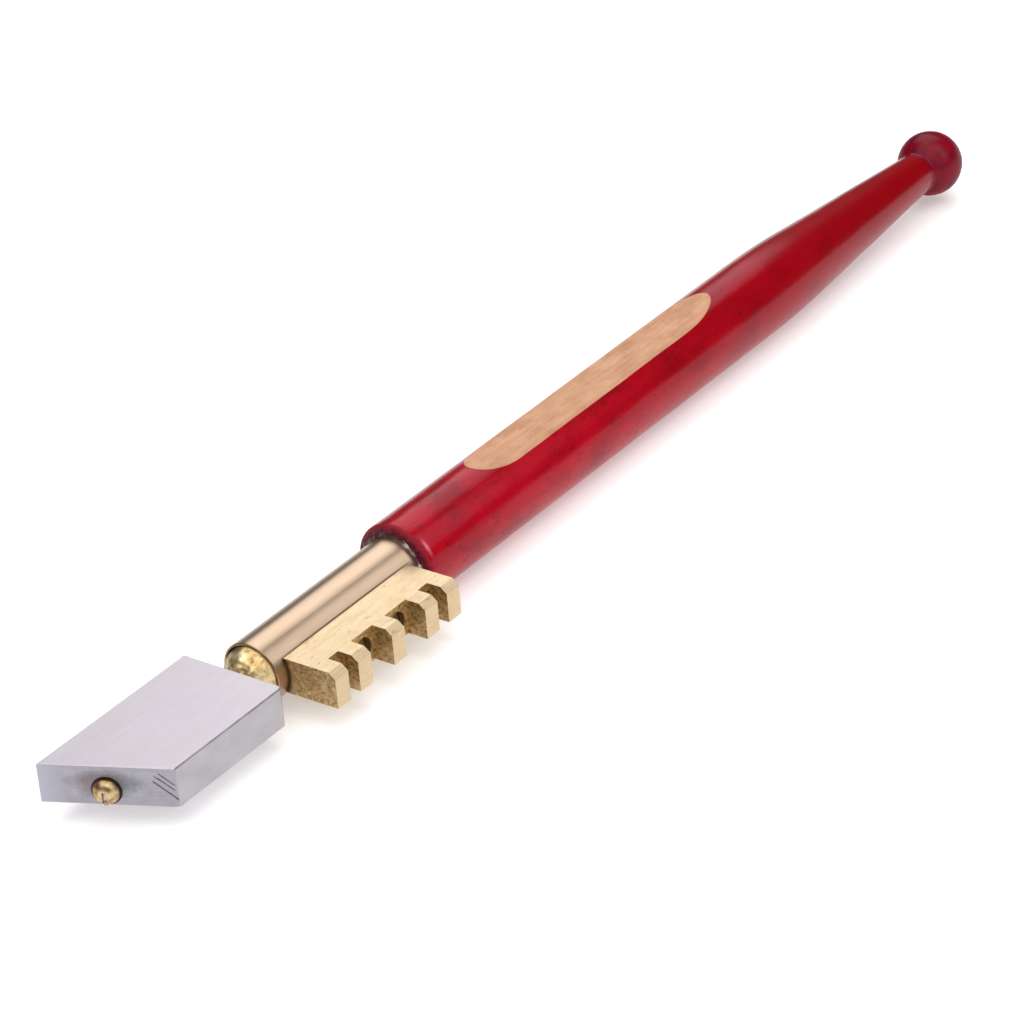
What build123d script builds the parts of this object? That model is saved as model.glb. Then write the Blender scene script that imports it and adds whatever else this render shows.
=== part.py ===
from build123d import *
import os
from math import asin, atan2, cos, degrees, radians, sin, sqrt, tan

# Diamond glass cutter with a swivelling head, a notched breaking comb and a turned wooden handle.
# Millimetres. +X runs along the tool's axis from the head to the ball end, +Z is up through the
# planed flat of the handle, and the comb's teeth point to -Y. The origin is on the axis, ten
# millimetres behind the handle's front face, on the round land where a clip or sleeve holds it.

# Handle
HANDLE_FRONT = -10.0
HANDLE_RADIUS = 5.3
HANDLE_EDGE = 0.7
SHOULDER = 71.3
SHOULDER_RADIUS = 170.0
NECK_RADIUS = 2.75
BALL_CENTRE = 111.4
BALL_RADIUS = 4.38
CREASE_RADIUS = 0.6
FLAT_FRONT = 5.5
FLAT_REAR = 56.1
FLAT_DEPTH = 0.88
FLAT_FRONT_SWEEP = 21.0
FLAT_REAR_SWEEP = 42.0
SOCKET_DEPTH = 14.2
HANDLE_SEAM_TURN = -67.5  # turns the lathe surface's seam from the top to the flank, off the flat

# Ferrule: a thin tube over a solid core with a domed nose
TUBE_RADIUS = 3.9
TUBE_BORE = 3.65
TUBE_MOUTH = -36.3
TUBE_TAIL = 4.0
TUBE_EDGE = 0.08
CORE_RADIUS = 3.63
NOSE_CENTRE = -35.5
NOSE_FRONT = -38.5
CORE_TAIL = -12.3
FIXED_GAP = 0.02
GLUE_BEAD_HEIGHT = 0.55
GLUE_BEAD_WIDTH = 0.8

# Head
HEAD_BACK = -39.4
HEAD_LONG_SIDE = 24.8
HEAD_SHORT_SIDE = 18.35
HEAD_GUIDE_Y = 6.75
HEAD_FREE_Y = -7.1
HEAD_TOP = 2.35
HEAD_SOLE = -2.6
HEAD_EDGE = 0.14
HEAD_CORNER_ROUND = 0.6
HEAD_CORNER_CUT = 0.5

# Swivel
STEM_RADIUS = 1.5
STEM_CLEARANCE = 0.05
STEM_IN_HEAD = 9.0
STEM_TAIL = -30.6
STEM_BORE_END = -27.9
SWIVEL_LIMIT = 10.0
STOP_X = -33.2
STOP_SCREW_RADIUS = 1.0
STOP_DOG_RADIUS = 0.55
STOP_DOG_TIP = 1.0
STOP_DOG_SHOULDER = 1.8
STOP_SCREW_OUTER = 3.8
STOP_GROOVE_RADIUS = 0.88
STOP_GROOVE_PLAY = 0.06
SPRING_RADIUS = 1.05
SPRING_WIRE_RADIUS = 0.16
SPRING_TURNS = 4
SPRING_END_GAP = 0.05

# Diamond setting, in the slanted front face of the head
STUD_RADIUS = 1.5
STUD_HEIGHT = -0.75
STUD_BORE = 1.72
STUD_BURIED = 4.5
STUD_SHOULDER = 0.35
STUD_NOSE = 1.15
STUD_NOSE_RADIUS = 0.55
STUD_SLOT_WIDTH = 0.5
STUD_SLOT_TOP = 0.45
STUD_SLOT_FLOOR = -0.4
SOLDER_RECESS = 0.12
DIAMOND_DROP = 0.95
DIAMOND_HALF = 0.42
DIAMOND_OUT = 0.72
BRAZE_TOP = 0.3
BRAZE_OUT = 0.85

# Breaking comb
COMB_FRONT = -34.6
COMB_OUTER = 10.5
COMB_INNER_RADIUS = 3.95
COMB_HALF_THICKNESS = 2.2
COMB_CORNER_OUT = 0.85
COMB_CORNER_DOWN = 0.7
TOOTH_WIDTH = 2.3
NOTCH_WIDTHS = (1.8, 3.9, 3.9, 1.8)
NOTCH_DEPTH = 2.7
SCREW_NOTCHES = (1, 2)
SCREW_RADIUS = 0.8
SCREW_HOLE_RADIUS = 0.84
SCREW_TIP = 0.7
SCREW_HEAD_RADIUS = 1.35
SCREW_HEAD_THICKNESS = 1.0
SCREW_SLOT_WIDTH = 0.4
SCREW_SLOT_DEPTH = 0.45
COUNTERBORE_RADIUS = 1.5
COUNTERBORE_DEPTH = 1.7

COMB_ROOT = COMB_OUTER - NOTCH_DEPTH
HEAD_SLANT = HEAD_LONG_SIDE - HEAD_SHORT_SIDE
HEAD_WIDTH = HEAD_GUIDE_Y - HEAD_FREE_Y
FACE_ANGLE = degrees(atan2(HEAD_SLANT, HEAD_WIDTH))
FACE_MIDDLE = HEAD_BACK - HEAD_LONG_SIDE + HEAD_SLANT * HEAD_GUIDE_Y / HEAD_WIDTH
ALONG_X = Plane.YZ
SIDE_VIEW = Plane.XZ


def rod(radius, start, end):
    """A round bar on the tool's axis."""
    return ALONG_X.offset(start) * extrude(Circle(radius), end - start)


def turned(outline):
    """A solid turned about the tool's axis from half of its lengthwise section."""
    return revolve(SIDE_VIEW * make_face(outline), Axis.X)


def face_plane():
    """The slanted front face: its x runs towards the teeth, y up and z out of the head."""
    angle = radians(FACE_ANGLE)
    return Plane(
        origin=(FACE_MIDDLE, 0, STUD_HEIGHT),
        x_dir=(sin(angle), -cos(angle), 0),
        z_dir=(-cos(angle), -sin(angle), 0),
    )


def on_face(shape):
    """Moves a shape drawn about the origin on to the slanted front face."""
    return face_plane().location * shape


def notch_spans():
    """The front and rear of each notch of the comb."""
    spans = []
    front = COMB_FRONT + TOOTH_WIDTH
    for width in NOTCH_WIDTHS:
        spans.append((front, front + width))
        front += width + TOOTH_WIDTH
    return spans


def comb_screw_places():
    """Where along the tool the comb's screws stand: the middles of the wide notches."""
    spans = notch_spans()
    return [sum(spans[index]) / 2 for index in SCREW_NOTCHES]


def side_bar(radius, x, inner, outer):
    """A round bar standing out of the tool's axis towards the teeth."""
    plane = Plane(origin=(x, -inner, 0), x_dir=(1, 0, 0), z_dir=(0, -1, 0))
    return plane * extrude(Circle(radius), outer - inner)


def down_bar(radius, x, inner, outer):
    """A round bar standing out of the tool's axis downwards."""
    plane = Plane(origin=(x, 0, -inner), x_dir=(1, 0, 0), z_dir=(0, 0, -1))
    return plane * extrude(Circle(radius), outer - inner)


def make_handle():
    """Turned handle: a straight grip, a taper and a ball, with a planed flat and a socket."""
    ball_joint = BALL_CENTRE - sqrt(BALL_RADIUS**2 - NECK_RADIUS**2)
    outline = Polyline(
        (HANDLE_FRONT, 0),
        (HANDLE_FRONT, HANDLE_RADIUS),
        (SHOULDER, HANDLE_RADIUS),
        (ball_joint, NECK_RADIUS),
    )
    ball = ThreePointArc(
        (ball_joint, NECK_RADIUS), (BALL_CENTRE, BALL_RADIUS), (BALL_CENTRE + BALL_RADIUS, 0)
    )
    axis_line = Line((BALL_CENTRE + BALL_RADIUS, 0), (HANDLE_FRONT, 0))
    section = make_face([*outline.edges(), ball, axis_line])
    rounds = (
        ((HANDLE_FRONT, HANDLE_RADIUS), HANDLE_EDGE),
        ((SHOULDER, HANDLE_RADIUS), SHOULDER_RADIUS),
        ((ball_joint, NECK_RADIUS), CREASE_RADIUS),
    )
    for place, radius in rounds:
        corner = section.vertices().sort_by_distance((*place, 0))[0]
        section = fillet(corner, radius)
    body = Rot(HANDLE_SEAM_TURN, 0, 0) * revolve(SIDE_VIEW * section, Axis.X)
    socket = rod(TUBE_RADIUS + STEM_CLEARANCE, HANDLE_FRONT, HANDLE_FRONT + SOCKET_DEPTH)
    return body - socket - planing_cut()


def sweep_run(radius):
    """How long the swept end of the planed flat is, from level to where it leaves the wood."""
    return sqrt(2 * radius * FLAT_DEPTH - FLAT_DEPTH**2)


def sweep_rise(radius, distance):
    """How far the swept end of the planed flat has risen at this distance past the level part."""
    return radius - sqrt(radius**2 - distance**2)


def planing_cut():
    """The wood taken off the top of the handle: level, and swept up at both ends."""
    level = HANDLE_RADIUS - FLAT_DEPTH
    top = HANDLE_RADIUS + FLAT_DEPTH
    outline = []
    swept = []
    for end, inward, radius in (
        (FLAT_FRONT, 1, FLAT_FRONT_SWEEP),
        (FLAT_REAR, -1, FLAT_REAR_SWEEP),
    ):
        start = end + inward * sweep_run(radius)
        reach = sqrt(radius**2 - (radius - 2 * FLAT_DEPTH) ** 2)
        middle = (start - inward * reach / 2, level + sweep_rise(radius, reach / 2))
        outline.append(ThreePointArc((start, level), middle, (start - inward * reach, top)))
        swept.append((start, start - inward * reach))
    outline.append(Line((swept[0][0], level), (swept[1][0], level)))
    outline.append(Line((swept[0][1], top), (swept[1][1], top)))
    return extrude(SIDE_VIEW * make_face(outline), HANDLE_RADIUS, both=True)


def make_glue_bead():
    """Glue squeezed out round the ferrule where it enters the handle."""
    inner = TUBE_RADIUS + FIXED_GAP
    outline = [
        Line((HANDLE_FRONT, inner), (HANDLE_FRONT - GLUE_BEAD_HEIGHT, inner)),
        ThreePointArc(
            (HANDLE_FRONT - GLUE_BEAD_HEIGHT, inner),
            (HANDLE_FRONT - 0.4 * GLUE_BEAD_HEIGHT, inner + 0.3 * GLUE_BEAD_WIDTH),
            (HANDLE_FRONT, inner + GLUE_BEAD_WIDTH),
        ),
        Line((HANDLE_FRONT, inner + GLUE_BEAD_WIDTH), (HANDLE_FRONT, inner)),
    ]
    return turned(outline)


def make_ferrule_tube():
    """Thin brass tube, drilled for the comb's screws and for the stop screw."""
    outer = rod(TUBE_RADIUS, TUBE_MOUTH, TUBE_TAIL)
    outer = chamfer(outer.edges().sort_by(Axis.X)[0], TUBE_EDGE)
    tube = outer - rod(TUBE_BORE, TUBE_MOUTH, TUBE_TAIL)
    tube -= down_bar(STOP_SCREW_RADIUS + FIXED_GAP, STOP_X, TUBE_BORE - 1, TUBE_RADIUS + 1)
    for x in comb_screw_places():
        tube -= side_bar(SCREW_HOLE_RADIUS, x, TUBE_BORE - 1, TUBE_RADIUS + 1)
    return tube


def make_ferrule_core():
    """Solid core of the ferrule: a domed nose, the stem's bore and the screws' holes."""
    nose_rim = sqrt(CORE_RADIUS**2 - (NOSE_CENTRE - NOSE_FRONT) ** 2)
    nose_angle = radians(20)
    outline = [
        Line((NOSE_FRONT, 0), (NOSE_FRONT, nose_rim)),
        ThreePointArc(
            (NOSE_FRONT, nose_rim),
            (NOSE_CENTRE - CORE_RADIUS * sin(nose_angle), CORE_RADIUS * cos(nose_angle)),
            (NOSE_CENTRE, CORE_RADIUS),
        ),
        Line((NOSE_CENTRE, CORE_RADIUS), (CORE_TAIL, CORE_RADIUS)),
        Line((CORE_TAIL, CORE_RADIUS), (CORE_TAIL, 0)),
        Line((CORE_TAIL, 0), (NOSE_FRONT, 0)),
    ]
    core = turned(outline) - rod(STEM_RADIUS + STEM_CLEARANCE, NOSE_FRONT, STEM_BORE_END)
    core -= down_bar(STOP_SCREW_RADIUS + FIXED_GAP, STOP_X, STEM_RADIUS, CORE_RADIUS + 1)
    for x in comb_screw_places():
        core -= side_bar(SCREW_RADIUS + FIXED_GAP, x, SCREW_TIP - FIXED_GAP, CORE_RADIUS + 1)
    return core


def make_head_block():
    """Ground metal block, longer on its guiding side, with bores for the stud and the stem."""
    outline = Polyline(
        (HEAD_BACK, HEAD_GUIDE_Y),
        (HEAD_BACK - HEAD_LONG_SIDE, HEAD_GUIDE_Y),
        (HEAD_BACK - HEAD_SHORT_SIDE, HEAD_FREE_Y),
        (HEAD_BACK, HEAD_FREE_Y),
        close=True,
    )
    block = Pos(0, 0, HEAD_SOLE) * extrude(make_face(outline), HEAD_TOP - HEAD_SOLE)
    back_corner = block.edges().filter_by(Axis.Z).sort_by_distance((HEAD_BACK, HEAD_FREE_Y, 0))
    block = fillet(back_corner[0], HEAD_CORNER_ROUND)
    rims = block.faces().filter_by(Axis.Z).edges()
    block = chamfer(rims, HEAD_EDGE)
    corner = Vector(HEAD_BACK - HEAD_SHORT_SIDE, HEAD_FREE_Y, HEAD_SOLE)
    outward = Vector(-1, -1, -1).normalized()
    corner_plane = Plane(origin=corner - outward * HEAD_CORNER_CUT / 2, z_dir=outward)
    block -= corner_plane * extrude(Circle(3 * HEAD_CORNER_CUT), HEAD_CORNER_CUT)
    block -= rod(STEM_RADIUS + FIXED_GAP, HEAD_BACK - STEM_IN_HEAD, HEAD_BACK)
    bore = Pos(0, 0, -STUD_BURIED) * extrude(Circle(STUD_BORE), 2 * STUD_BURIED)
    return block - on_face(bore)


def make_swivel_stem():
    """Steel stem fixed in the head, with an arc groove for the stop screw's dog point."""
    stem = rod(STEM_RADIUS, HEAD_BACK - STEM_IN_HEAD + FIXED_GAP, STEM_TAIL)
    stem = chamfer(stem.edges().filter_by(GeomType.CIRCLE).sort_by(Axis.X)[-1], 0.2)
    half_width = STOP_DOG_RADIUS + STOP_GROOVE_PLAY
    half_angle = degrees(asin(STOP_DOG_RADIUS / STOP_DOG_TIP)) + SWIVEL_LIMIT + 3
    reach = 2 * STEM_RADIUS
    wedge = make_face(
        Polyline(
            (0, 0),
            (-reach * tan(radians(half_angle)), -reach),
            (reach * tan(radians(half_angle)), -reach),
            close=True,
        )
    )
    sector = ALONG_X.offset(STOP_X - half_width) * extrude(wedge, 2 * half_width)
    return stem - (sector - rod(STOP_GROOVE_RADIUS, STOP_X - 1, STOP_X + 1))


def make_stem_spring():
    """Short coil spring at the bottom of the stem's bore, which takes up the end play."""
    start = STEM_TAIL + SPRING_WIRE_RADIUS + SPRING_END_GAP
    length = STEM_BORE_END - SPRING_END_GAP - SPRING_WIRE_RADIUS - start
    path = Helix(length / SPRING_TURNS, length, SPRING_RADIUS, center=(0, 0, 0))
    section = Plane(origin=path @ 0, z_dir=path % 0) * Circle(SPRING_WIRE_RADIUS)
    coil = sweep(section, path=path, is_frenet=True)
    return Pos(start, 0, 0) * Rot(0, 90, 0) * coil


def make_stop_screw():
    """Slotted grub screw from below; its dog point holds the stem and limits the swivel."""
    screw = down_bar(STOP_SCREW_RADIUS, STOP_X, STOP_DOG_SHOULDER, STOP_SCREW_OUTER)
    screw = chamfer(screw.edges().sort_by(Axis.Z)[-1], 0.15)
    screw += down_bar(STOP_DOG_RADIUS, STOP_X, STOP_DOG_TIP, STOP_DOG_SHOULDER)
    slot = Box(3 * STOP_SCREW_RADIUS, 0.35, 0.8)
    return screw - Pos(STOP_X, 0, -STOP_SCREW_OUTER) * slot


def make_comb_bar():
    """Notched bar for nipping off narrow strips of glass, with counterbored screw holes."""
    half = COMB_HALF_THICKNESS
    inner = sqrt(COMB_INNER_RADIUS**2 - half**2)
    outline = [
        Line((-inner, half), (-COMB_OUTER + COMB_CORNER_OUT, half)),
        Line((-COMB_OUTER + COMB_CORNER_OUT, half), (-COMB_OUTER, half - COMB_CORNER_DOWN)),
        Line((-COMB_OUTER, half - COMB_CORNER_DOWN), (-COMB_OUTER, -half)),
        Line((-COMB_OUTER, -half), (-inner, -half)),
        ThreePointArc((-inner, -half), (-COMB_INNER_RADIUS, 0), (-inner, half)),
    ]
    length = (len(NOTCH_WIDTHS) + 1) * TOOTH_WIDTH + sum(NOTCH_WIDTHS)
    bar = ALONG_X.offset(COMB_FRONT) * extrude(make_face(outline), length)
    for front, rear in notch_spans():
        cutter = Box(rear - front, 2 * NOTCH_DEPTH, 3 * half)
        bar -= Pos((front + rear) / 2, -COMB_OUTER, 0) * cutter
    for x in comb_screw_places():
        bar -= side_bar(SCREW_HOLE_RADIUS, x, COMB_INNER_RADIUS - 1, COMB_ROOT + 1)
        bar -= side_bar(COUNTERBORE_RADIUS, x, COMB_ROOT - COUNTERBORE_DEPTH, COMB_ROOT + 1)
    return bar


def make_comb_screws():
    """Two slotted screws that hold the comb to the ferrule's core."""
    seat = COMB_ROOT - COUNTERBORE_DEPTH
    screws = []
    for x in comb_screw_places():
        head = side_bar(SCREW_HEAD_RADIUS, x, seat, seat + SCREW_HEAD_THICKNESS)
        head = chamfer(head.edges().sort_by(Axis.Y)[0], 0.15)
        screw = head + side_bar(SCREW_RADIUS, x, SCREW_TIP, seat)
        slot = Box(3 * SCREW_HEAD_RADIUS, 2 * SCREW_SLOT_DEPTH, SCREW_SLOT_WIDTH)
        slot = Pos(x, -seat - SCREW_HEAD_THICKNESS, 0) * Rot(0, 35, 0) * slot
        screws.append(screw - slot)
    return Compound(screws)


def make_setting_stud():
    """Brass stud that carries the diamond: a blunt cone with a slot from above its middle down."""
    outline = [
        Line((0, -STUD_BURIED + 0.1), (STUD_RADIUS, -STUD_BURIED + 0.1)),
        Line((STUD_RADIUS, -STUD_BURIED + 0.1), (STUD_RADIUS, STUD_SHOULDER)),
        ThreePointArc(
            (STUD_RADIUS, STUD_SHOULDER),
            (0.5 * (STUD_RADIUS + STUD_NOSE_RADIUS) + 0.12, 0.5 * (STUD_SHOULDER + STUD_NOSE) + 0.12),
            (STUD_NOSE_RADIUS, STUD_NOSE),
        ),
        Line((STUD_NOSE_RADIUS, STUD_NOSE), (0, STUD_NOSE)),
        Line((0, STUD_NOSE), (0, -STUD_BURIED + 0.1)),
    ]
    stud = revolve(SIDE_VIEW * make_face(outline), Axis.Z)
    slot = Box(
        STUD_SLOT_WIDTH,
        2 * STUD_RADIUS,
        2 * STUD_NOSE,
        align=(Align.CENTER, Align.MAX, Align.MIN),
    )
    stud -= Pos(0, STUD_SLOT_TOP, STUD_SLOT_FLOOR) * slot
    stud -= Pos(0, -DIAMOND_DROP, DIAMOND_OUT) * diamond_crystal(DIAMOND_HALF + FIXED_GAP)
    return on_face(stud)


def diamond_crystal(half):
    """An octahedron with its points along the three directions of the face."""
    points = [
        [Vector(sign * half, 0, 0) for sign in (1, -1)],
        [Vector(0, sign * half, 0) for sign in (1, -1)],
        [Vector(0, 0, sign * half) for sign in (1, -1)],
    ]
    facets = []
    for a in points[0]:
        for b in points[1]:
            for c in points[2]:
                facets.append(Face(Wire.make_polygon([a, b, c], close=True)))
    return Solid(Shell(facets))


def make_diamond():
    """The cutting diamond, standing in the stud's slot with one point forward."""
    return on_face(Pos(0, -DIAMOND_DROP, DIAMOND_OUT) * diamond_crystal(DIAMOND_HALF))


def make_diamond_braze():
    """Braze that fills the stud's slot behind and round the diamond."""
    width = STUD_SLOT_WIDTH - 2 * FIXED_GAP
    bottom = sqrt(STUD_RADIUS**2 - (width / 2) ** 2) - 0.15
    fill = Box(
        width,
        bottom + BRAZE_TOP,
        BRAZE_OUT - STUD_SLOT_FLOOR - FIXED_GAP,
        align=(Align.CENTER, Align.MAX, Align.MIN),
    )
    fill = Pos(0, BRAZE_TOP, STUD_SLOT_FLOOR + FIXED_GAP) * fill
    pocket = Pos(0, -DIAMOND_DROP, DIAMOND_OUT) * diamond_crystal(DIAMOND_HALF + FIXED_GAP)
    return on_face(fill - pocket)


def make_setting_solder():
    """Dark solder between the stud and its bore, set back a little from the face."""
    ring = extrude(Circle(STUD_BORE - FIXED_GAP) - Circle(STUD_RADIUS + FIXED_GAP), STUD_BURIED)
    ring = on_face(Pos(0, 0, -STUD_BURIED - SOLDER_RECESS) * ring)
    room = Box(3 * HEAD_LONG_SIDE, 3 * HEAD_WIDTH, 2 * (HEAD_TOP - FIXED_GAP))
    keep = on_face(Pos(0, 0, -STUD_BURIED + 0.1) * extrude(Circle(2 * STUD_BORE), STUD_BURIED))
    return (ring & (Pos(HEAD_BACK - HEAD_LONG_SIDE, 0, 0) * room)) & keep


def write_part(name, shape):
    """Writes one sub-part to its STEP file."""
    export_step(shape, os.path.join("parts", name + ".step"))


os.makedirs("parts", exist_ok=True)
MAKERS = {
    "handle": make_handle,
    "glue_bead": make_glue_bead,
    "ferrule_tube": make_ferrule_tube,
    "ferrule_core": make_ferrule_core,
    "swivel_stop_screw": make_stop_screw,
    "stem_spring": make_stem_spring,
    "comb_bar": make_comb_bar,
    "comb_screws": make_comb_screws,
    "head_block": make_head_block,
    "swivel_stem": make_swivel_stem,
    "setting_stud": make_setting_stud,
    "setting_solder": make_setting_solder,
    "diamond": make_diamond,
    "diamond_braze": make_diamond_braze,
}
for node, maker in MAKERS.items():
    write_part(node, maker())
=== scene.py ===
import math
import bmesh
import bpy
from mathutils import Matrix, Vector, noise


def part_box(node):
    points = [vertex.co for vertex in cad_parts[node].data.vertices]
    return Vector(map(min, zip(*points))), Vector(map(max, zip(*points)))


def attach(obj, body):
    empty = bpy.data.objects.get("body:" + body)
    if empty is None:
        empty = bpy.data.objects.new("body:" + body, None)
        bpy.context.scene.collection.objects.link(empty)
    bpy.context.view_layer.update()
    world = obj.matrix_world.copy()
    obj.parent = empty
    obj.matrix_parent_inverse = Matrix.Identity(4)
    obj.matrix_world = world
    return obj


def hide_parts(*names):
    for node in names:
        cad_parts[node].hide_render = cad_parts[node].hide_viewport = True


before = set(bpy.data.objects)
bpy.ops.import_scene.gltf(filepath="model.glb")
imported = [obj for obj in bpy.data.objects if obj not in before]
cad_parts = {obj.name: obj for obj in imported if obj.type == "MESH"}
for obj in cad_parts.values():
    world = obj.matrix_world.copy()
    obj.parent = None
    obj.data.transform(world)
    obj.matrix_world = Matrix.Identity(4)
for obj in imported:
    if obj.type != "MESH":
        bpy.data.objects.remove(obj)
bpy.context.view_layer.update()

# Everything is in metres, in the row's frame: +X from the head to the ball end, +Z up through the
# planed flat, comb teeth towards -Y. Places come from the CAD nodes' boxes; MM turns the few
# dimensions that no box gives into metres.
MM = 0.001

HEAD_LOW, HEAD_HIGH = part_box("head_block")
HANDLE_LOW, HANDLE_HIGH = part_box("handle")
TUBE_LOW, TUBE_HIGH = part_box("ferrule_tube")
CORE_LOW, CORE_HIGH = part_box("ferrule_core")
COMB_LOW, COMB_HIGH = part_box("comb_bar")
BEAD_LOW, BEAD_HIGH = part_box("glue_bead")

HEAD_SLANT = 6.45 * MM
HEAD_WIDTH = HEAD_HIGH.y - HEAD_LOW.y
FACE_NORMAL = Vector((-HEAD_WIDTH, -HEAD_SLANT, 0)).normalized()
FACE_MIDDLE = Vector((HEAD_LOW.x + HEAD_SLANT * HEAD_HIGH.y / HEAD_WIDTH, 0, 0))

HANDLE_RADIUS = HANDLE_HIGH.y
HANDLE_EDGE = 0.7 * MM
SHOULDER = 71.3 * MM
SHOULDER_RADIUS = 170 * MM
NECK_RADIUS = 2.75 * MM
BALL_RADIUS = 4.38 * MM
BALL_CENTRE = HANDLE_HIGH.x - BALL_RADIUS
CREASE_RADIUS = 0.6 * MM
FLAT_FRONT = 5.5 * MM
FLAT_REAR = 56.1 * MM
FLAT_DEPTH = 0.88 * MM
FLAT_FRONT_SWEEP = 21 * MM
FLAT_REAR_SWEEP = 42 * MM
SOCKET_RADIUS = 3.95 * MM
SOCKET_DEPTH = 14.2 * MM

# File strokes on the short end of the slanted face: y and z of the middle, depth, half length.
FILE_STROKES = (
    (-6.10, 0.95, 0.07, 1.10),
    (-6.02, 0.35, 0.06, 1.20),
    (-5.90, -0.45, 0.11, 1.70),
    (-5.20, 0.98, 0.05, 0.50),
)
FILE_LEAN = -40
FILE_PROUD = 0.1 * MM
FILE_OPENING = 0.19 * MM

NOTCH_DEPTH = 2.7 * MM
COMB_HOLE_REACH = 1.6 * MM

DOME_DEPTH = 3.0 * MM
STEM_BORE = 1.55 * MM
STEM_BORE_END = -27.9 * MM


# ---------------------------------------------------------------- materials


class Finish:
    """One material's node tree, with short ways to add the nodes that the finishes below use."""

    def __init__(self, name):
        self.material = bpy.data.materials.new(name)
        self.material.use_nodes = True
        self.tree = self.material.node_tree
        self.shader = self.tree.nodes["Principled BSDF"]
        self.place = self.tree.nodes.new("ShaderNodeTexCoord").outputs["Object"]

    def node(self, kind, settings=(), **sockets):
        made = self.tree.nodes.new(kind)
        for name, value in dict(settings).items():
            setattr(made, name, value)
        for name, value in sockets.items():
            self.feed(made.inputs[name.replace("_", " ")], value)
        return made

    def feed(self, socket, value):
        if isinstance(value, bpy.types.NodeSocket):
            self.tree.links.new(value, socket)
        else:
            socket.default_value = value

    def stretched(self, count):
        """The object's own coordinates, scaled to so many features to the metre.

        The count is one number, or one for each axis.
        """
        scale = count if isinstance(count, tuple) else (count,) * 3
        return self.node("ShaderNodeMapping", Vector=self.place, Scale=scale).outputs["Vector"]

    def noise(self, count, detail=4.0, roughness=0.55, distortion=0.0):
        """Cloudy noise with so many features to the metre."""
        made = self.node(
            "ShaderNodeTexNoise",
            Vector=self.stretched(count),
            Scale=1.0,
            Detail=detail,
            Roughness=roughness,
            Distortion=distortion,
        )
        return made.outputs["Fac"]

    def cells(self, count):
        """The distance to the nearest of scattered points, so many to the metre."""
        made = self.node("ShaderNodeTexVoronoi", Vector=self.stretched(count), Scale=1.0)
        return made.outputs["Distance"]

    def ramp(self, value, *stops):
        """A ramp through (place, grey or colour) stops."""
        made = self.node("ShaderNodeValToRGB", Fac=value)
        elements = made.color_ramp.elements
        while len(elements) < len(stops):
            elements.new(0.5)
        for element, (place, colour) in zip(elements, stops):
            element.position = place
            element.color = (*colour, 1) if isinstance(colour, tuple) else (colour,) * 3 + (1,)
        return made.outputs["Color"]

    def maths(self, operation, a, b=0.0):
        made = self.node("ShaderNodeMath", {"operation": operation})
        self.feed(made.inputs[0], a)
        self.feed(made.inputs[1], b)
        return made.outputs[0]

    def plus(self, a, b):
        return self.maths("ADD", a, b)

    def times(self, a, b):
        return self.maths("MULTIPLY", a, b)

    def flip(self, value):
        """1 where the value is 0, and 0 where it is 1."""
        return self.maths("SUBTRACT", 1.0, value)

    def mix(self, share, a, b, blend="MIX"):
        made = self.node("ShaderNodeMix", {"data_type": "RGBA", "blend_type": blend})
        self.feed(made.inputs[0], share)
        self.feed(made.inputs[6], (*a, 1) if isinstance(a, tuple) else a)
        self.feed(made.inputs[7], (*b, 1) if isinstance(b, tuple) else b)
        return made.outputs[2]

    def stain(self, colour, where, share, tint):
        """The colour with a tint over it, so strong where the mask is 1."""
        return self.mix(self.times(where, share), colour, tint)

    def streak(self, colour, share, streaks):
        """The colour darkened by the streaks, so strongly."""
        return self.mix(share, colour, streaks, "MULTIPLY")

    def axis(self, letter):
        """One of the object's own coordinates, in metres."""
        made = self.node("ShaderNodeSeparateXYZ", Vector=self.place)
        return made.outputs[letter]

    def off_axis(self):
        """How far a point is from the tool's axis, in metres."""
        y, z = self.axis("Y"), self.axis("Z")
        return self.maths("SQRT", self.plus(self.times(y, y), self.times(z, z)))

    def between(self, value, start, end):
        """Rises from 0 at start to 1 at end, and keeps to that range."""
        made = self.node("ShaderNodeMapRange", {"clamp": True}, Value=value)
        made.inputs["From Min"].default_value = start
        made.inputs["From Max"].default_value = end
        return made.outputs["Result"]

    def near(self, value, middle, reach):
        """1 where the value is at the middle, falling to 0 at the given reach to each side."""
        off = self.maths("ABSOLUTE", self.maths("SUBTRACT", value, middle))
        return self.flip(self.between(off, 0.0, reach))

    def relief(self, height, depth, under=None):
        """A bump of the given depth in metres, laid over another one."""
        made = self.node("ShaderNodeBump", Height=height, Distance=depth, Strength=1.0)
        if under is not None:
            self.feed(made.inputs["Normal"], under)
        return made.outputs["Normal"]

    def set(self, **sockets):
        """Feeds the shader's sockets and gives the finished material."""
        for name, value in sockets.items():
            label = "Base Color" if name == "Colour" else name.replace("_", " ")
            if isinstance(value, tuple):
                value = (*value, 1)
            self.feed(self.shader.inputs[label], value)
        return self.material


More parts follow.
